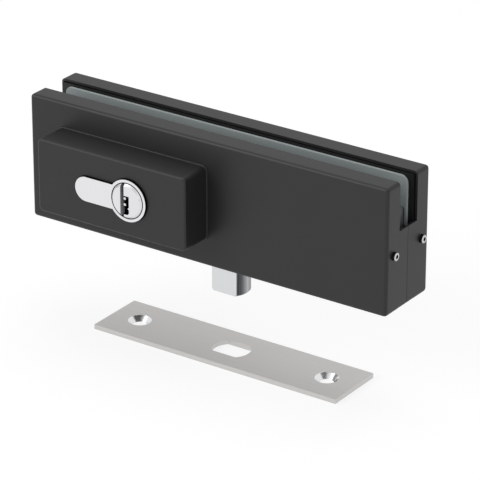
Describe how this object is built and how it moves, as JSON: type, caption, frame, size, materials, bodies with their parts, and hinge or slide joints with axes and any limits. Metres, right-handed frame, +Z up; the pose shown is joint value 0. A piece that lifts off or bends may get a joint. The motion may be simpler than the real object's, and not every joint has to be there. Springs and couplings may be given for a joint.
{
  "type": "glass door lock",
  "caption": "Patch lock that clamps on the edge of a glass door; a double key cylinder drives a vertical bolt into a separate floor strike plate.",
  "frame": {"origin": "middle of the flat seat that the glass door's edge stands on, half way along the lock", "axes": "+X along the lock, the cylinder on its -X half; -Y is the front cover's side; +Z up, towards the glass"},
  "size_m": [0.166, 0.0602, 0.0935],
  "materials": {
    "cover_paint": "satin anthracite powder coat",
    "housing_paint": "satin anthracite powder coat",
    "clamp_black": "black anodised",
    "gasket_grey": "matte",
    "screw_steel": "zinc plated",
    "end_screw_steel": "bright",
    "cylinder_nickel": "satin nickel plate",
    "plug_nickel": "satin nickel plate",
    "brass": "turned",
    "spring_steel": "drawn wire",
    "cam_steel": "sintered and zinc plated",
    "bolt_steel": "ground stainless",
    "pad_plastic": "natural nylon",
    "strike_steel": "brushed stainless"
  },
  "bodies": {
    "case": {"front_cover": "cover_paint", "rear_cover": "cover_paint", "front_housing": "housing_paint", "rear_housing": "housing_paint", "front_clamp": "clamp_black", "rear_clamp": "clamp_black", "front_gasket": "gasket_grey", "rear_gasket": "gasket_grey", "clamp_screws": "screw_steel", "end_screws": "end_screw_steel", "housing_screws": "screw_steel", "cylinder_body": "cylinder_nickel", "driver_pins": "brass", "pin_springs": "spring_steel", "pin_caps": "brass", "cylinder_screw": "screw_steel", "bolt_guide": "brass", "friction_pad": "pad_plastic", "pad_spring": "spring_steel", "pad_screw": "screw_steel"},
    "key_drive": {"front_plug": "plug_nickel", "front_key_pins": "brass", "front_circlip": "spring_steel", "cam": "cam_steel", "clutch": "cam_steel"},
    "rear_plug": {"rear_plug": "plug_nickel", "rear_key_pins": "brass", "rear_circlip": "spring_steel"},
    "bolt": {"bolt": "bolt_steel", "bolt_tail": "cam_steel", "tail_rivets": "screw_steel"},
    "strike": {"strike_plate": "strike_steel"}
  },
  "joints": [
    {"name": "key_turn", "type": "hinge", "parent": "case", "child": "key_drive", "pos_m": [-0.0245, 0, -0.011], "axis": [0, -1, 0], "range_deg": [0, 90]},
    {"name": "bolt_slide", "type": "slide", "parent": "case", "child": "bolt", "axis": [0, 0, 1], "range_m": [0, 0.016]},
    {"name": "rear_plug_turn", "type": "hinge", "parent": "case", "child": "rear_plug", "pos_m": [-0.0245, 0, -0.011], "axis": [0, 1, 0], "continuous": true},
    {"name": "strike_lift", "type": "slide", "parent": "case", "child": "strike", "axis": [0, 0, 1], "range_m": [0, 0.033]}
  ],
  "couplings": [
    {"joint": "bolt_slide", "follows": "key_turn", "m_per_rad": 0.010186}
  ]
}
